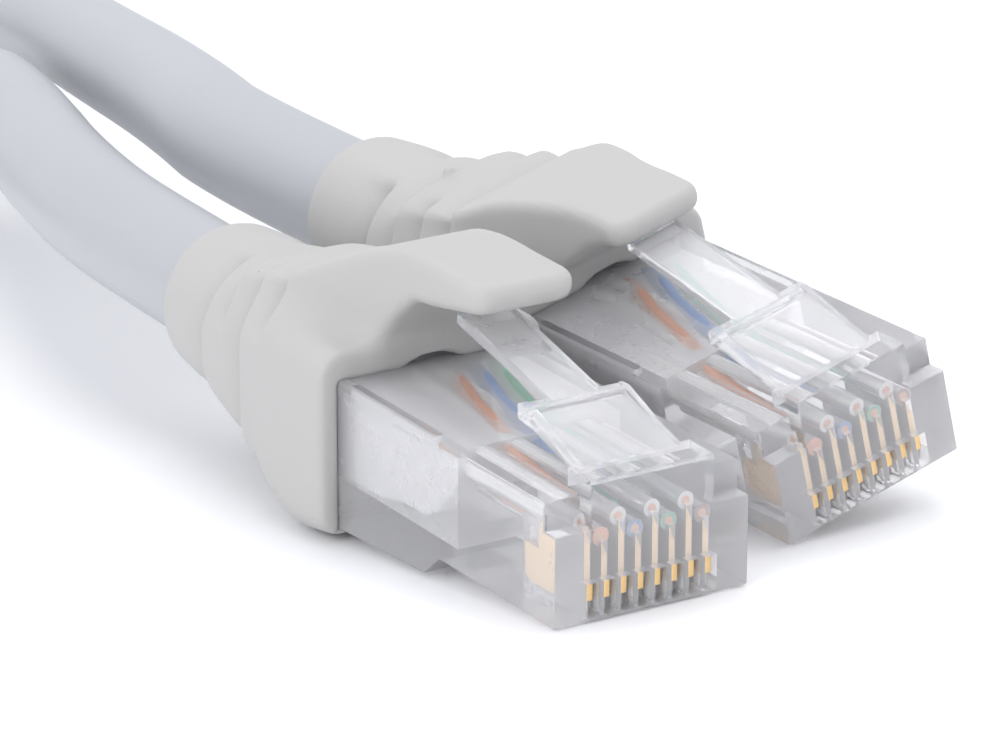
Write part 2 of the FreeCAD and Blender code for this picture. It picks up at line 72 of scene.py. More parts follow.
place = {end: plug_place(end) for end in ENDS}
nose_edge = place["a"].translation.copy()


def from_nose(point):
    """A point given in millimetres from plug A's nose edge, along the row frame's axes."""
    return nose_edge + Vector(point) * MM


# ---------------------------------------------------------------- camera, floor and light
def aim(obj, position, forward, up):
    forward, up = Vector(forward).normalized(), Vector(up)
    right = forward.cross(up).normalized()
    up = right.cross(forward)
    turn = Matrix((right, up, -forward)).transposed().to_4x4()
    obj.matrix_world = Matrix.Translation(position) @ turn
    bpy.context.scene.collection.objects.link(obj)


def make_camera():
    data = bpy.data.cameras.new("camera")
    data.lens, data.sensor_width = 196.3, 36.0
    data.clip_start, data.clip_end = 0.01, 10.0
    camera = bpy.data.objects.new("camera", data)
    position = from_nose((224.56, -140.74, 79.91))
    aim(camera, position, (-0.8345, 0.4931, -0.2460), (-0.1788, 0.1801, 0.9673))
    bpy.context.scene.camera = camera


def softbox(name, position, target, size, power, colour):
    data = bpy.data.lights.new(name, "AREA")
    data.shape, data.size, data.energy, data.color = "DISK", size, power, colour
    light = bpy.data.objects.new(name, data)
    aim(light, Vector(position), Vector(target) - Vector(position), (0.1, 1, 0.2))


def make_studio():
    bpy.context.scene.view_settings.view_transform = "Standard"
    world = bpy.data.worlds.new("studio")
    bpy.context.scene.world = world
    world.use_nodes = True
    sky = world.node_tree.nodes["Background"]
    sky.inputs["Color"].default_value = (0.93, 0.95, 1.0, 1)
    sky.inputs["Strength"].default_value = 1.02
    softbox("top light", (-0.05, 0.10, 0.55), (0, 0, 0), 0.5, 1.0, (1.0, 0.985, 0.96))
    softbox("side light", (0.25, -0.45, 0.30), (0, 0, 0), 0.35, 0.8, (1.0, 1.0, 1.0))
    bm = bmesh.new()
    bmesh.ops.create_grid(bm, x_segments=1, y_segments=1, size=1.5)
    floor = finished("floor", bm, Matrix())
    floor.data.materials.append(floor_finish())


# ---------------------------------------------------------------- mesh helpers
def add_piece(name, mesh):
    piece = bpy.data.objects.new(name, mesh)
    bpy.context.scene.collection.objects.link(piece)
    return piece


def finished(name, bm, transform, smooth=False):
    """Turns a bmesh into a piece that stands at the origin with its place in its mesh."""
    mesh = bpy.data.meshes.new(name)
    bm.to_mesh(mesh)
    bm.free()
    mesh.transform(transform)
    for face in mesh.polygons:
        face.use_smooth = smooth
    return add_piece(name, mesh)


def baked(piece):
    """The piece with its modifiers, or its curve, turned into a plain mesh of the same name."""
    graph = bpy.context.evaluated_depsgraph_get()
    mesh = bpy.data.meshes.new_from_object(piece.evaluated_get(graph))
    name = piece.name
    bpy.data.objects.remove(piece)
    return add_piece(name, mesh)


def drop(*pieces):
    for piece in pieces:
        bpy.data.objects.remove(piece)


def spline(at, knots, values):
    """Smooth curve through the values given at rising knots."""
    knots, values = np.asarray(knots, float), np.asarray(values, float)
    slopes = np.gradient(values, knots)
    i = np.clip(np.searchsorted(knots, at) - 1, 0, len(knots) - 2)
    span = knots[i + 1] - knots[i]
    t = np.clip((at - knots[i]) / span, 0, 1)
    rise = values[i + 1] - values[i]
    ease = t * t * (3 - 2 * t)
    lean = span * (slopes[i] * t * (1 - t) ** 2 - slopes[i + 1] * t * t * (1 - t))
    return values[i] + rise * ease + lean


def surface_nets(name, value, low, step, transform):
    """Closed mesh of the zero level of a sampled field, negative inside."""
    cells = np.array(value.shape) - 1
    total, count = np.zeros((*cells, 3)), np.zeros(cells)
    crossings = []
    for axis in range(3):
        first = np.take(value, range(value.shape[axis] - 1), axis)
        last = np.take(value, range(1, value.shape[axis]), axis)
        spots = np.argwhere((first < 0) != (last < 0))
        a, b = first[tuple(spots.T)], last[tuple(spots.T)]
        where = spots.astype(float)
        where[:, axis] += a / (a - b)
        shift = np.zeros((4, 3), int)
        shift[[1, 2], (axis + 1) % 3] = 1
        shift[[2, 3], (axis + 2) % 3] = 1
        around = spots[:, None, :] + shift[None] - shift[2]
        for corner in range(4):
            cell = tuple(around[:, corner].T)
            np.add.at(total, cell, where)
            np.add.at(count, cell, 1)
        around[a > 0] = around[a > 0][:, ::-1]
        crossings.append(around)
    used = count > 0
    number = np.cumsum(used).reshape(used.shape) - 1
    points = np.array(low) + step * total[used] / count[used][:, None]
    quads = np.concatenate(crossings)
    faces = number[quads[..., 0], quads[..., 1], quads[..., 2]]
    mesh = bpy.data.meshes.new(name)
    mesh.from_pydata(points.tolist(), [], faces.tolist())
    mesh.transform(transform)
    mesh.polygons.foreach_set("use_smooth", [True] * len(mesh.polygons))
    return add_piece(name, mesh)


def prism(bm, corners, lift, start, end, bevel=0.0, segments=2):
    """Closed solid from an outline; lift(u, v, w) gives the place of outline corner (u, v) at w."""
    made = bmesh.new()
    rings = [[made.verts.new(lift(u, v, w)) for u, v in corners] for w in (start, end)]
    made.faces.new(rings[0])
    made.faces.new(rings[1][::-1])
    for i in range(len(corners)):
        j = (i + 1) % len(corners)
        made.faces.new((rings[0][i], rings[1][i], rings[1][j], rings[0][j]))
    bmesh.ops.recalc_face_normals(made, faces=made.faces)
    if bevel:
        bmesh.ops.bevel(
            made, geom=made.edges[:], offset=bevel, segments=segments,
            affect="EDGES", profile=0.5, clamp_overlap=True,
        )
    part = bpy.data.meshes.new("part")
    made.to_mesh(part)
    made.free()
    bm.from_mesh(part)
    bpy.data.meshes.remove(part)


def side(x, z, y):
    return Vector((x, y, z))


def front(y, z, x):
    return Vector((x, y, z))


def top(x, y, z):
    return Vector((x, y, z))


def box(bm, x, y, z, bevel=0.0):
    """Block from pairs of limits along plug X, Y and Z."""
    outline = [(x[0], z[0]), (x[1], z[0]), (x[1], z[1]), (x[0], z[1])]
    prism(bm, outline, side, y[0], y[1], bevel)


def round_outline(u, v, radius, corners=(1, 1, 1, 1), steps=5):
    """Rectangle from pairs of limits, with chosen corners rounded, from low u and low v on."""
    points = []
    middles = [(u[0], v[0], 180), (u[1], v[0], 270), (u[1], v[1], 0), (u[0], v[1], 90)]
    for (cu, cv, angle), turn in zip(middles, corners):
        if not turn:
            points.append((cu, cv))
            continue
        mu = cu + radius * (1 if cu == u[0] else -1)
        mv = cv + radius * (1 if cv == v[0] else -1)
        for step in range(steps + 1):
            a = math.radians(angle + 90 * step / steps)
            points.append((mu + radius * math.cos(a), mv + radius * math.sin(a)))
    return points


def round_curve(name, route, radius, along, around):
    """Curve of round section through a smooth route, closed at both ends."""
    curve = bpy.data.curves.new(name, "CURVE")
    curve.dimensions = "3D"
    line = curve.splines.new("NURBS")
    line.points.add(len(route) - 1)
    for point, spot in zip(line.points, route):
        point.co = (*spot, 1)
    line.order_u = 3
    line.use_endpoint_u = True
    curve.resolution_u = along
    curve.bevel_depth = radius
    curve.bevel_resolution = around
    curve.use_fill_caps = True
    return curve


def boolean(piece, tool, operation):
    """Joins or cuts two closed solids exactly."""
    modifier = piece.modifiers.new(operation, "BOOLEAN")
    modifier.operation, modifier.solver, modifier.object = operation, "EXACT", tool
    result = baked(piece)
    drop(tool)
    return result


# ---------------------------------------------------------------- shader building blocks
def group(name, inputs, outputs):
    """Empty shader node group with its sockets: name -> default."""
    tree = bpy.data.node_groups.new(name, "ShaderNodeTree")
    for label, value in inputs.items():
        kind = "NodeSocketColor" if isinstance(value, tuple) else "NodeSocketFloat"
        socket = tree.interface.new_socket(name=label, in_out="INPUT", socket_type=kind)
        socket.default_value = value
    for label, kind in outputs.items():
        tree.interface.new_socket(name=label, in_out="OUTPUT", socket_type=kind)
    source = tree.nodes.new("NodeGroupInput")
    sink = tree.nodes.new("NodeGroupOutput")
    return tree, source, sink


def math_node(tree, operation, a, b=None, c=None):
    node = tree.nodes.new("ShaderNodeMath")
    node.operation = operation
    for socket, value in zip(node.inputs, (a, b, c)):
        if value is None:
            continue
        if isinstance(value, (int, float)):
            socket.default_value = value
        else:
            tree.links.new(value, socket)
    return node.outputs[0]


def noise(tree, vector, scale, detail=3.0, rough=0.5):
    node = tree.nodes.new("ShaderNodeTexNoise")
    node.inputs["Detail"].default_value = detail
    node.inputs["Roughness"].default_value = rough
    tree.links.new(vector, node.inputs["Vector"])
    if isinstance(scale, (int, float)):
        node.inputs["Scale"].default_value = scale
    else:
        tree.links.new(scale, node.inputs["Scale"])
    return node.outputs["Fac"]


def ramp(tree, value, low, high):
    """0 below low, 1 above high, smooth between."""
    node = tree.nodes.new("ShaderNodeMapRange")
    node.interpolation_type = "SMOOTHSTEP"
    tree.links.new(value, node.inputs["Value"])
    for label, limit in (("From Min", low), ("From Max", high)):
        if isinstance(limit, (int, float)):
            node.inputs[label].default_value = limit
        else:
            tree.links.new(limit, node.inputs[label])
    return node.outputs["Result"]


def blend_colour(tree, factor, a, b):
    node = tree.nodes.new("ShaderNodeMix")
    node.data_type = "RGBA"
    tree.links.new(factor, node.inputs["Factor"])
    for socket, value in ((node.inputs[6], a), (node.inputs[7], b)):
        if isinstance(value, tuple):
            socket.default_value = (*value[:3], 1)
        else:
            tree.links.new(value, socket)
    return node.outputs[2]


def shaded(tree, colour, tone):
    """The colour times the tone."""
    node = tree.nodes.new("ShaderNodeVectorMath")
    node.operation = "SCALE"
    tree.links.new(colour, node.inputs[0])
    tree.links.new(tone, node.inputs["Scale"])
    return node.outputs[0]


def object_coordinates(tree):
    return tree.nodes.new("ShaderNodeTexCoord").outputs["Object"]


def moulded_surface():
    """Soft cloudy tone and a fine grain, as on moulded plastic; sizes in metres."""
    tree, given, result = group(
        "moulded surface",
        {"Cloud size": 0.004, "Cloud amount": 0.04, "Grain size": 0.00012, "Colour": (1, 1, 1, 1)},
        {"Colour": "NodeSocketColor", "Height": "NodeSocketFloat", "Cloud": "NodeSocketFloat"},
    )
    spot = object_coordinates(tree)
    cloud_scale = math_node(tree, "DIVIDE", 1.0, given.outputs["Cloud size"])
    cloud = noise(tree, spot, cloud_scale, 4.0)
    grain_scale = math_node(tree, "DIVIDE", 1.0, given.outputs["Grain size"])
    grain = noise(tree, spot, grain_scale, 2.0)
    swing = math_node(tree, "SUBTRACT", cloud, 0.5)
    tone = math_node(tree, "MULTIPLY_ADD", swing, given.outputs["Cloud amount"], 1.0)
    tree.links.new(shaded(tree, given.outputs["Colour"], tone), result.inputs["Colour"])
    tree.links.new(grain, result.inputs["Height"])
    tree.links.new(cloud, result.inputs["Cloud"])
    return tree


def scuff_marks():
    """Mask of sparse short marks from handling: Amount 0 for none to 1 for many."""
    tree, given, result = group(
        "scuff marks",
        {"Mark size": 0.0008, "Amount": 0.3, "Spread": 0.006},
        {"Mask": "NodeSocketFloat"},
    )
    spot = object_coordinates(tree)
    mark_scale = math_node(tree, "DIVIDE", 1.0, given.outputs["Mark size"])
    fine = noise(tree, spot, mark_scale, 5.0, 0.65)
    patch_scale = math_node(tree, "DIVIDE", 1.0, given.outputs["Spread"])
    broad = noise(tree, spot, patch_scale, 2.0)
    limit = math_node(tree, "MULTIPLY_ADD", given.outputs["Amount"], -0.2, 0.78)
    marks = ramp(tree, fine, limit, math_node(tree, "ADD", limit, 0.06))
    patches = ramp(tree, broad, 0.5, 0.62)
    tree.links.new(math_node(tree, "MULTIPLY", marks, patches), result.inputs["Mask"])
    return tree


def drawn_streaks():
    """Faint lines along an extruded jacket, from the piece's own UV map: v runs round it."""
    tree, given, result = group(
        "drawn streaks",
        {"Lines": 60.0, "Amount": 0.05, "Colour": (1, 1, 1, 1)},
        {"Colour": "NodeSocketColor", "Height": "NodeSocketFloat"},
    )
    uv = tree.nodes.new("ShaderNodeTexCoord").outputs["UV"]
    stretch = tree.nodes.new("ShaderNodeMapping")
    stretch.inputs["Scale"].default_value = (1.0, 0.4, 1.0)
    tree.links.new(uv, stretch.inputs["Vector"])
    lines = noise(tree, stretch.outputs[0], given.outputs["Lines"], 3.0)
    swing = math_node(tree, "SUBTRACT", lines, 0.5)
    tone = math_node(tree, "MULTIPLY_ADD", swing, given.outputs["Amount"], 1.0)
    tree.links.new(shaded(tree, given.outputs["Colour"], tone), result.inputs["Colour"])
    tree.links.new(lines, result.inputs["Height"])
    return tree


GROUPS = {}


def use(tree, maker, **values):
    """Places a node group in a material with its own values."""
    if maker.__name__ not in GROUPS:
        GROUPS[maker.__name__] = maker()
    node = tree.nodes.new("ShaderNodeGroup")
    node.node_tree = GROUPS[maker.__name__]
    for label, value in values.items():
        node.inputs[label.replace("_", " ")].default_value = value
    return node.outputs


def material(name, **plain):
    """Principled material with plain values on its sockets; returns it with its tree and shader."""
    made = bpy.data.materials.new(name)
    made.use_nodes = True
    shader = made.node_tree.nodes["Principled BSDF"]
    for label, value in plain.items():
        socket = shader.inputs[label.replace("_", " ")]
        socket.default_value = (*value, 1) if isinstance(value, tuple) else value
    return made, made.node_tree, shader


def bump(tree, shader, height, strength, distance):
    node = tree.nodes.new("ShaderNodeBump")
    node.inputs["Strength"].default_value = strength
    node.inputs["Distance"].default_value = distance
    tree.links.new(height, node.inputs["Height"])
    tree.links.new(node.outputs[0], shader.inputs["Normal"])


def link(tree, output, socket):
    tree.links.new(output, socket)


# ---------------------------------------------------------------- materials
def floor_finish():
    made, tree, shader = material("studio floor", Roughness=0.6, Specular_IOR_Level=0.2)
    surface = use(
        tree, moulded_surface, Cloud_size=0.3, Cloud_amount=0.01, Colour=(0.96, 0.96, 0.97, 1),
    )
    link(tree, surface["Colour"], shader.inputs["Base Color"])
    return made


def boot_finish():
    """Soft light grey moulding with a fine matt grain and brown specks from handling."""
    made, tree, shader = material("soft boot", Roughness=0.55, Specular_IOR_Level=0.35)
    surface = use(
        tree, moulded_surface, Cloud_size=0.005, Cloud_amount=0.05, Grain_size=0.00022,
        Colour=(0.49, 0.48, 0.468, 1),
    )
    marks = use(tree, scuff_marks, Mark_size=0.0011, Amount=0.35, Spread=0.004)
    colour = blend_colour(tree, marks["Mask"], surface["Colour"], (0.30, 0.20, 0.13))
    link(tree, colour, shader.inputs["Base Color"])
    rough = math_node(tree, "MULTIPLY_ADD", surface["Cloud"], 0.15, 0.5)
    link(tree, rough, shader.inputs["Roughness"])
    bump(tree, shader, surface["Height"], 0.25, 0.00004)
    shader.inputs["Subsurface Weight"].default_value = 0.15
    shader.inputs["Subsurface Radius"].default_value = (0.001, 0.0009, 0.0008)
    shader.inputs["Subsurface Scale"].default_value = 1.0
    return made


def jacket_finish():
    """Smooth extruded jacket, a cool light grey."""
    made, tree, shader = material("cable jacket", Roughness=0.4, Specular_IOR_Level=0.45)
    surface = use(
        tree, moulded_surface, Cloud_size=0.009, Cloud_amount=0.04, Grain_size=0.00035,
        Colour=(0.445, 0.457, 0.475, 1),
    )
    streaks = use(tree, drawn_streaks, Lines=26.0, Amount=0.05)
    link(tree, surface["Colour"], streaks["Colour"].node.inputs["Colour"])
    link(tree, streaks["Colour"], shader.inputs["Base Color"])
    rough = math_node(tree, "MULTIPLY_ADD", streaks["Height"], 0.2, 0.3)
    link(tree, rough, shader.inputs["Roughness"])
    bump(tree, shader, surface["Height"], 0.12, 0.00004)
    return made


def clear_finish(name, tint, dull, bent):
    """Clear moulded plastic, a little milky, with faint flow marks."""
    made, tree, shader = material(name, IOR=bent, Transmission_Weight=1.0 - dull)
    surface = use(
        tree, moulded_surface, Cloud_size=0.0025, Cloud_amount=0.05, Grain_size=0.0003,
        Colour=(*tint, 1),
    )
    link(tree, surface["Colour"], shader.inputs["Base Color"])
    rough = math_node(tree, "MULTIPLY_ADD", surface["Cloud"], 0.05, 0.015)
    link(tree, rough, shader.inputs["Roughness"])
    bump(tree, shader, surface["Cloud"], 0.25, 0.00006)
    return made


def mould_finish():
    made, tree, shader = material("inner mould", Roughness=0.5)
    surface = use(
        tree, moulded_surface, Cloud_size=0.002, Cloud_amount=0.06, Grain_size=0.0002,
        Colour=(0.74, 0.735, 0.74, 1),
    )
    link(tree, surface["Colour"], shader.inputs["Base Color"])
    bump(tree, shader, surface["Height"], 0.2, 0.00003)
    return made


def metal_finish(name, colour, rough_low):
    made, tree, shader = material(name, Metallic=1.0)
    surface = use(
        tree, moulded_surface, Cloud_size=0.0006, Cloud_amount=0.2, Grain_size=0.00006,
        Colour=(*colour, 1),
    )
    link(tree, surface["Colour"], shader.inputs["Base Color"])
    rough = math_node(tree, "MULTIPLY_ADD", surface["Cloud"], 0.2, rough_low)
    link(tree, rough, shader.inputs["Roughness"])
    bump(tree, shader, surface["Height"], 0.15, 0.00001)
    return made


INSULATION = {
    "orange": (0.80, 0.27, 0.07),
    "green": (0.05, 0.42, 0.22),
    "blue": (0.04, 0.20, 0.55),
    "brown": (0.25, 0.11, 0.06),
}
INSULATION_WHITE = (0.78, 0.78, 0.76)


def insulation_finish(name):
    """Extruded insulation: one colour, or white with a stripe of that colour along it."""
    made, tree, shader = material(f"insulation {name}", Roughness=0.35)
    base = name.replace("white_", "")
    colour = INSULATION[base]
    surface = use(
        tree, moulded_surface, Cloud_size=0.0015, Cloud_amount=0.1, Grain_size=0.0001,
        Colour=(*(INSULATION_WHITE if name.startswith("white") else colour), 1),
    )
    result = surface["Colour"]
    if name.startswith("white"):
        uv = tree.nodes.new("ShaderNodeTexCoord").outputs["UV"]
        split = tree.nodes.new("ShaderNodeSeparateXYZ")
        link(tree, uv, split.inputs[0])
        stripe = math_node(tree, "PINGPONG", split.outputs["Y"], 0.5)
        result = blend_colour(tree, ramp(tree, stripe, 0.36, 0.39), result, colour)
    link(tree, result, shader.inputs["Base Color"])
    bump(tree, shader, surface["Height"], 0.1, 0.00002)
    return made


# ---------------------------------------------------------------- the cable
CABLE_HEIGHT = 3.6       # cable's axis in the plug
JACKET_END = 26.0        # jacket's cut end behind the nose
BOOT_END = 44.0          # boot's rear behind the nose
BOOT_RUN = 10.0          # straight stretch of cable past the boot
CABLE_RADIUS = 3.5
# route points, from plug A's nose edge
ROUTE_A = [
    (-69, 3.0, 10.8), (-89, 9.6, 11.0), (-108, 15.8, 9.6), (-126, 12.5, 7.2), (-139, -1, 4.6),
]
ROUTE_LOOP = [
    (-143.5, -20, 3.6), (-157.5, -32.5, 3.6), (-175.5, -37, 3.6), (-193, -31.5, 3.6),
    (-205.5, -17.5, 3.6), (-208, 1.5, 3.6), (-201.5, 19.5, 3.6), (-187, 32.3, 3.7),
]
ROUTE_B = [
    (-168.5, 37, 4.6), (-148, 35.6, 7.6), (-124, 28.8, 10.7), (-98, 20.8, 12.4), (-74, 13.8, 13.8),
]
BOOT_BENDS = {"a": (0.0, 0.0), "b": (-1.2, 0.9)}     # sideways and up, at the boot's rear
BEND_START = 24.0        # behind the nose


def boot_bend(end, x):
    """How far sideways and up the soft boot is bent at x by its cable."""
    share = (np.maximum(-x - BEND_START, 0) / (BOOT_END - BEND_START)) ** 2
    return [share * bend for bend in BOOT_BENDS[end]]


def boot_run(end):
    route = []
    for x in (-JACKET_END, -BOOT_END - BOOT_RUN):
        across, up = boot_bend(end, x)
        route.append(place[end] @ Vector((x, across, CABLE_HEIGHT + up)))
    return route


def make_cable():
    between = [from_nose(p) for p in ROUTE_A + ROUTE_LOOP + ROUTE_B]
    route = boot_run("a") + between + boot_run("b")[::-1]
    curve = round_curve("cable", route, CABLE_RADIUS * MM, along=14, around=10)
    cable = bpy.data.objects.new("cable", curve)
    bpy.context.scene.collection.objects.link(cable)
    curve.materials.append(jacket_finish())
    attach(cable, "root")
    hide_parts("cable_run_a", "cable_loop", "cable_run_b")


# ---------------------------------------------------------------- boots with their hoods
BOOT_STEP = 0.2
BOOT_LOW, BOOT_HIGH = (-45.2, -8.2, -4.2), (-10.6, 8.2, 15.4)
BOOT_STATIONS = [  # behind the nose, half width, lower edge, upper edge, corner radius
    (21.5, 7.05, -2.2, 8.2, 1.5),
    (25.5, 7.05, -3.0, 8.5, 2.2),
    (31.5, 6.2, -2.3, 9.0, 3.6),
    (38.5, 5.2, -1.3, 8.3, 4.5),
    (44.0, 4.4, -0.8, 8.0, 4.35),
]
HOODS = {"a": (11.8, 14.1), "b": (15.0, 13.1)}      # free end behind the nose, its top
RIBS = [  # behind the nose; centre and half spread of each groove round the boot, 0 at the top
    (29.5, [(0, 62), (180, 52)]),
    (32.4, [(88, 58), (-88, 58)]),
    (35.3, [(0, 70), (180, 40)]),
    (38.2, [(88, 62), (-88, 62)]),
]
RIB_DEPTH = 1.05
RIB_FRONT, RIB_REAR = 0.28, 1.0      # how fast a groove fades towards the nose and the cable
RIB_EDGE = 3.0                       # softness of a groove's ends, in degrees
BOOT_ROUNDING, HOOD_ROUNDING = 0.5, 0.6
HOOD_ROOT = 36.0                     # where the hood ends in the boot, behind the nose
HOOD_FILLET = 1.6
PIP_MIDDLE, PIP_RADIUS, PIP_HEIGHT = (-34.6, -0.4, 9.2), 0.36, 0.8


def round_max(radius, *fields):
    """Meeting of solids whose shared edges are rounded."""
    outside = sum(np.maximum(f + radius, 0) ** 2 for f in fields)
    inside = np.minimum(np.maximum.reduce([f + radius for f in np.broadcast_arrays(*fields)]), 0)
    return np.sqrt(outside) + inside - radius


def smooth_min(a, b, width):
    """Union of two solids with a fillet."""
    share = np.maximum(width - np.abs(a - b), 0) / width
    return np.minimum(a, b) - share * share * width / 4


def boot_body(x, y, z):
    knots, half, low, high, corner = np.array(BOOT_STATIONS).T
    half, low, high, corner = (spline(-x, knots, v) for v in (half, low, high, corner))
    beside = np.abs(y) - half + corner
    above = np.abs(z - (low + high) / 2) - (high - low) / 2 + corner
    section = np.hypot(np.maximum(beside, 0), np.maximum(above, 0))
    section = section + np.minimum(np.maximum(beside, above), 0) - corner
    ends = np.maximum(x + knots[0], -x - knots[-1])
    return round_max(BOOT_ROUNDING, section, ends)


def hood_shape(x, y, z, reach, height):
    upper = spline(
        -x, [reach, reach + 3, 19.9, 22.5, 25.4, 28.5, 33.5, 36],
        [height - 0.05, height, height - 0.15, 0.6 * height + 4.8, 12.0, 10.6, 9.0, 8.0],
    )
    under = height - 1.4 - 0.75 * (height - 12.6)
    lower = spline(
        -x, [reach, 16.8, 18.8, 20.2, 21.4, 24],
        [height - 1.55, under, height - 2.9, height - 4.1, 8.4, 6.0],
    )
    half = spline(-x, [reach, 17, 20, 23, 26, 30, 36], [3.1, 3.1, 3.25, 3.9, 4.5, 4.6, 4.0])
    plan = round_max(1.1, np.abs(y) - half, x + reach)
    # the upper and lower faces slope, so their heights are scaled to distances
    faces = (z - upper) * 0.85, (lower - z) * 0.75
    return round_max(HOOD_ROUNDING, plan, *faces, -x - HOOD_ROOT)


def rib_grooves(x, y, z):
    angle = np.degrees(np.arctan2(y, z - CABLE_HEIGHT))
    depth = 0
    for station, arcs in RIBS:
        behind = -x - station
        to_cable, to_nose = np.exp(-behind / RIB_REAR), np.exp(-(behind / RIB_FRONT) ** 2)
        across = np.where(behind > 0, to_cable, to_nose)
        for middle, spread in arcs:
            off = np.abs((angle - middle + 180) % 360 - 180)
            depth = depth + across * (1 / (1 + np.exp((off - spread) / RIB_EDGE)))
    return RIB_DEPTH * depth


def boot_piece(end, finish):
    axes = [np.arange(lo, hi, BOOT_STEP) for lo, hi in zip(BOOT_LOW, BOOT_HIGH)]
    x, y, z = np.meshgrid(*axes, indexing="ij", sparse=True)
    across, up = boot_bend(end, x)
    y, z = y - across, z - up
    reach, height = HOODS[end]
    field = smooth_min(boot_body(x, y, z), hood_shape(x, y, z, reach, height), HOOD_FILLET)
    field = field + rib_grooves(x, y, z)
    if end == "b":      # moulding pip left on this boot
        px, py, pz = PIP_MIDDLE
        pip = np.sqrt((x - px) ** 2 + (y - py) ** 2 + ((z - pz) * PIP_HEIGHT) ** 2) - PIP_RADIUS
        field = smooth_min(field, pip, 0.4)
    seat = round_max(0.1, np.abs(y) - PLUG_HALF, z - PLUG_TOP, -KEEL_REAR - z, -x - PLUG_REAR)
    bore = np.hypot(y, z - CABLE_HEIGHT) - CABLE_RADIUS
    field = np.maximum(np.maximum(field, -seat), -bore)
    boot = surface_nets(f"boot_and_hood_{end}", field, BOOT_LOW, BOOT_STEP, place[end])
    boot.data.materials.append(finish)
    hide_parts(f"boot_{end}", f"hood_{end}")
    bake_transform(boot)


# ---------------------------------------------------------------- clear plugs
PIN_PITCH = 1.02
PLUG_HALF = 5.84
PLUG_TOP = 6.6
PLUG_REAR = 23.0
KEEL_REAR = 1.9
ROW_HEIGHT = {0: 4.15, 1: 5.05}          # even and odd conductors
WIRE_RADIUS = 0.48
WIRE_HOLE = 0.5
WIRE_FRONT = 1.15
NOSE_BEVEL = 0.18
LATCH_HALF, ARM_HALF = 3.05, 1.65
RAILS = [(-LATCH_HALF - 0.32, -2.73), (LATCH_HALF - 0.32, LATCH_HALF)]       # limits across
FOOT_SIZE = (0.42, 0.46, 1.05)
FOOT_MIDDLE = (-0.6, 1.55)               # along the plug, and up


def pin_y(pin):
    return (pin - 4.5) * PIN_PITCH


def pin_row(pin):
    return ROW_HEIGHT[pin % 2]


def plug_outside():
    """Nose with its lip, keel, latch root, latch and arm, as one moulding."""
    bm = bmesh.new()
    profile = [
        (0, 0.12), (0, 5.0), (-1.06, 5.0), (-1.06, PLUG_TOP), (-PLUG_REAR, PLUG_TOP),
        (-PLUG_REAR, -KEEL_REAR), (-12.8, -1.3), (-11.2, 0), (-0.12, 0),
    ]
    prism(bm, profile, side, -PLUG_HALF, PLUG_HALF, NOSE_BEVEL)
    shell = finished("shell", bm, Matrix())

    bm = bmesh.new()
    outline = round_outline((-3.7, 3.7), (4.55, 7.7), 0.9, (1, 1, 0, 0))
    prism(bm, outline, front, -2.3, -0.02, 0.1)
    root = finished("root", bm, Matrix())
    shell = boolean(shell, root, "UNION")

    bm = bmesh.new()
    plate = [(-1.6, 7.0), (-1.6, 7.62), (-7.3, 9.1), (-7.3, 8.46), (-2.2, 7.0)]
    prism(bm, plate, side, -LATCH_HALF, LATCH_HALF, 0.12)
    shell = boolean(shell, finished("plate", bm, Matrix()), "UNION")
    for low, high in RAILS:
        bm = bmesh.new()
        rail = [(-1.9, 7.5), (-6.9, 9.35), (-7.6, 9.35), (-7.6, 8.5), (-6.0, 8.3), (-1.9, 7.2)]
        prism(bm, rail, side, low, high, 0.1)
        shell = boolean(shell, finished("rail", bm, Matrix()), "UNION")
    bm = bmesh.new()
    box(bm, (-7.75, -6.75), (-3.04, 3.04), (8.5, 9.25), 0.15)
    shell = boolean(shell, finished("bar", bm, Matrix()), "UNION")
    bm = bmesh.new()
    arm = [(-7.0, 8.5), (-7.0, 9.2), (-12.0, 10.35), (-16.4, 11.25), (-16.4, 10.6), (-12.0, 9.72)]
    prism(bm, arm, side, -ARM_HALF, ARM_HALF, 0.14)
    return boolean(shell, finished("arm", bm, Matrix()), "UNION")


def cut_hollows(shell):
    bm = bmesh.new()
    box(bm, (-PLUG_REAR - 1, -10.4), (-4.7, 4.7), (0.7, 5.75))
    shell = boolean(shell, finished("hollow", bm, Matrix()), "DIFFERENCE")
    bm = bmesh.new()
    for sign in (-1, 1):
        outline = round_outline((-20.6, -11.8), (sign * 5.35 - 0.22, sign * 5.35 + 0.22), 0.2)
        prism(bm, outline, top, 6.0, 7.0)
    shell = boolean(shell, finished("top slots", bm, Matrix()), "DIFFERENCE")
    bm = bmesh.new()
    for pin in range(1, 9):
        y = pin_y(pin)
        outline = round_outline((y - 0.36, y + 0.36), (0.14, 2.1), 0.35, (1, 1, 0, 0))
        prism(bm, outline, front, -0.74, 0.5)
        box(bm, (-4.95, -0.72), (y - 0.19, y + 0.19), (-0.5, pin_row(pin) - 0.1))
    shell = boolean(shell, finished("contact slots", bm, Matrix()), "DIFFERENCE")
    bm = bmesh.new()
    for pin in range(1, 9):
        y, z = pin_y(pin), pin_row(pin)
        ring = [math.radians(15 * i) for i in range(24)]
        outline = [(y + WIRE_HOLE * math.cos(a), z + WIRE_HOLE * math.sin(a)) for a in ring]
        prism(bm, outline, front, -10.5, -WIRE_FRONT)
    return boolean(shell, finished("wire holes", bm, Matrix()), "DIFFERENCE")


def plug_piece(end, finish):
    shell = cut_hollows(plug_outside())
    shell.name = shell.data.name = f"clear_plug_{end}"
    shell.data.transform(place[end])
    shell.data.materials.append(finish)
    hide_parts(f"plug_housing_{end}", f"latch_{end}", f"wire_guide_{end}")
    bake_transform(shell)


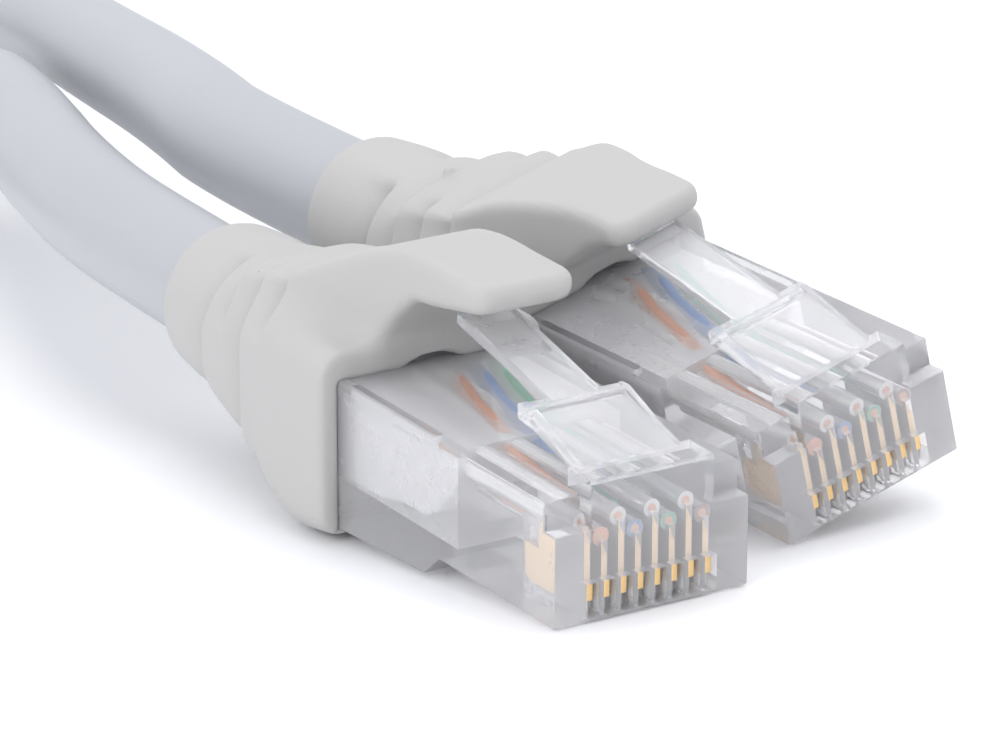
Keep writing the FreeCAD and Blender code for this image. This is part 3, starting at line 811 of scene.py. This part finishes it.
# ---------------------------------------------------------------- inside the plugs
COLOURS = [
    "white_orange", "orange", "white_green", "blue", "white_blue", "green", "white_brown", "brown",
]
BUNDLE_RADIUS = 1.75
OVER_MOULD = {"orange": 0.0, "blue": 1.5, "green": 2.7}     # how far across they run over the mould
OVER_HEIGHT = 5.35


def wire_route(pin):
    y, row = pin_y(pin), pin_row(pin)
    slot = (pin - 1) // 2
    angle = math.radians(157.5 - 45 * slot if pin % 2 else 202.5 + 45 * slot)
    ring_y = BUNDLE_RADIUS * math.cos(angle)
    ring_z = CABLE_HEIGHT + BUNDLE_RADIUS * math.sin(angle)
    front = [(-WIRE_FRONT - 0.03, y, row), (-6, y, row), (-11.2, y, row)]
    if COLOURS[pin - 1] in OVER_MOULD:
        shift = OVER_MOULD[COLOURS[pin - 1]]
        return front[:2] + [
            (-9.6, 0.8 * y, row), (-12.2, shift - 1.3, OVER_HEIGHT),
            (-16.4, shift - 0.5, OVER_HEIGHT), (-20.0, shift + 0.8, OVER_HEIGHT),
            (-23.0, shift + 1.6, 4.6), (-25.5, ring_y, ring_z),
        ]
    return front + [
        (-14.5, 0.75 * y + 0.25 * ring_y, 0.6 * row + 0.4 * ring_z),
        (-19, ring_y, ring_z), (-25.5, ring_y, ring_z),
    ]


def make_conductor(end, pin, finish):
    colour = COLOURS[pin - 1]
    name = f"wire_{colour}_{end}"
    curve = round_curve(name, wire_route(pin), WIRE_RADIUS, along=8, around=4)
    wire = baked(bpy.data.objects.new(name, curve))
    wire.data.transform(place[end])
    wire.data.materials.append(finish)
    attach(wire, "root")
    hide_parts(f"conductor_{colour}_{end}")


def make_cores(end, finish):
    """Cut copper ends, a hair proud of the insulation."""
    bm = bmesh.new()
    for pin in range(1, 9):
        bmesh.ops.create_cone(
            bm, cap_ends=True, segments=20, radius1=0.25, radius2=0.25, depth=1.0,
            matrix=Matrix.Translation((-WIRE_FRONT - 0.51, pin_y(pin), pin_row(pin)))
            @ Matrix.Rotation(math.pi / 2, 4, "Y"),
        )
    cores = finished(f"copper_ends_{end}", bm, place[end])
    cores.data.materials.append(finish)
    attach(cores, "root")
    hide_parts(f"conductor_cores_{end}")


def make_mould(end, finish):
    """Grey filling of the plug's rear, with its curved front boundary."""
    bm = bmesh.new()
    lower = [(-25.4, 0.75), (-21.1, 0.75), (-18.7, 0.8), (-16.0, 1.3), (-13.9, 1.35)]
    curve = [(-12.6, 2.2), (-11.6, 3.0), (-10.9, 3.6), (-10.6, 4.4), (-10.6, 5.25)]
    prism(bm, lower + curve + [(-25.4, 5.25)], side, -4.65, 4.65, 0.25, 3)
    mould = finished(f"inner_mould_body_{end}", bm, place[end], smooth=True)
    mould.data.materials.append(finish)
    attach(mould, "root")
    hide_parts(f"inner_mould_{end}")


def contact_feet(end, finish):
    """The eight blunt feet that fill the contact windows, one shape repeated along a line."""
    tree = bpy.data.node_groups.new(f"row_of_feet_{end}", "GeometryNodeTree")
    tree.interface.new_socket("Geometry", in_out="OUTPUT", socket_type="NodeSocketGeometry")
    line, foot, row, real, coat, out = (
        tree.nodes.new(kind) for kind in (
            "GeometryNodeMeshLine", "GeometryNodeMeshCube", "GeometryNodeInstanceOnPoints",
            "GeometryNodeRealizeInstances", "GeometryNodeSetMaterial", "NodeGroupOutput",
        )
    )
    line.inputs["Count"].default_value = 8
    line.inputs["Start Location"].default_value = (FOOT_MIDDLE[0], pin_y(1), FOOT_MIDDLE[1])
    line.inputs["Offset"].default_value = (0, pin_y(2) - pin_y(1), 0)
    foot.inputs["Size"].default_value = FOOT_SIZE
    coat.inputs["Material"].default_value = finish
    tree.links.new(line.outputs[0], row.inputs["Points"])
    tree.links.new(foot.outputs[0], row.inputs["Instance"])
    tree.links.new(row.outputs[0], real.inputs[0])
    tree.links.new(real.outputs[0], coat.inputs["Geometry"])
    tree.links.new(coat.outputs[0], out.inputs[0])
    seed = add_piece(f"contact_feet_{end}", bpy.data.meshes.new(f"contact_feet_{end}"))
    seed.modifiers.new("row", "NODES").node_group = tree
    feet = baked(seed)
    feet.data.transform(place[end])
    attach(feet, "root")


def dress_contacts(end, finish):
    for pin in range(1, 9):
        blade = frame["nodes"][f"contact_{pin}_{end}"]
        blade.data.materials.clear()
        blade.data.materials.append(finish)


# ---------------------------------------------------------------- everything together
make_camera()
make_studio()
make_cable()

boot_grey = boot_finish()
clear = clear_finish("clear plastic", (0.99, 0.985, 0.995), 0.25, 1.2)
mould_grey = mould_finish()
gold = metal_finish("gold contact", (0.92, 0.66, 0.33), 0.3)
copper = metal_finish("cut copper", (0.72, 0.36, 0.20), 0.25)
insulation = {colour: insulation_finish(colour) for colour in COLOURS}
for end in ENDS:
    boot_piece(end, boot_grey)
    plug_piece(end, clear)
    make_mould(end, mould_grey)
    make_cores(end, copper)
    dress_contacts(end, gold)
    contact_feet(end, gold)
    for pin, colour in enumerate(COLOURS, start=1):
        make_conductor(end, pin, insulation[colour])
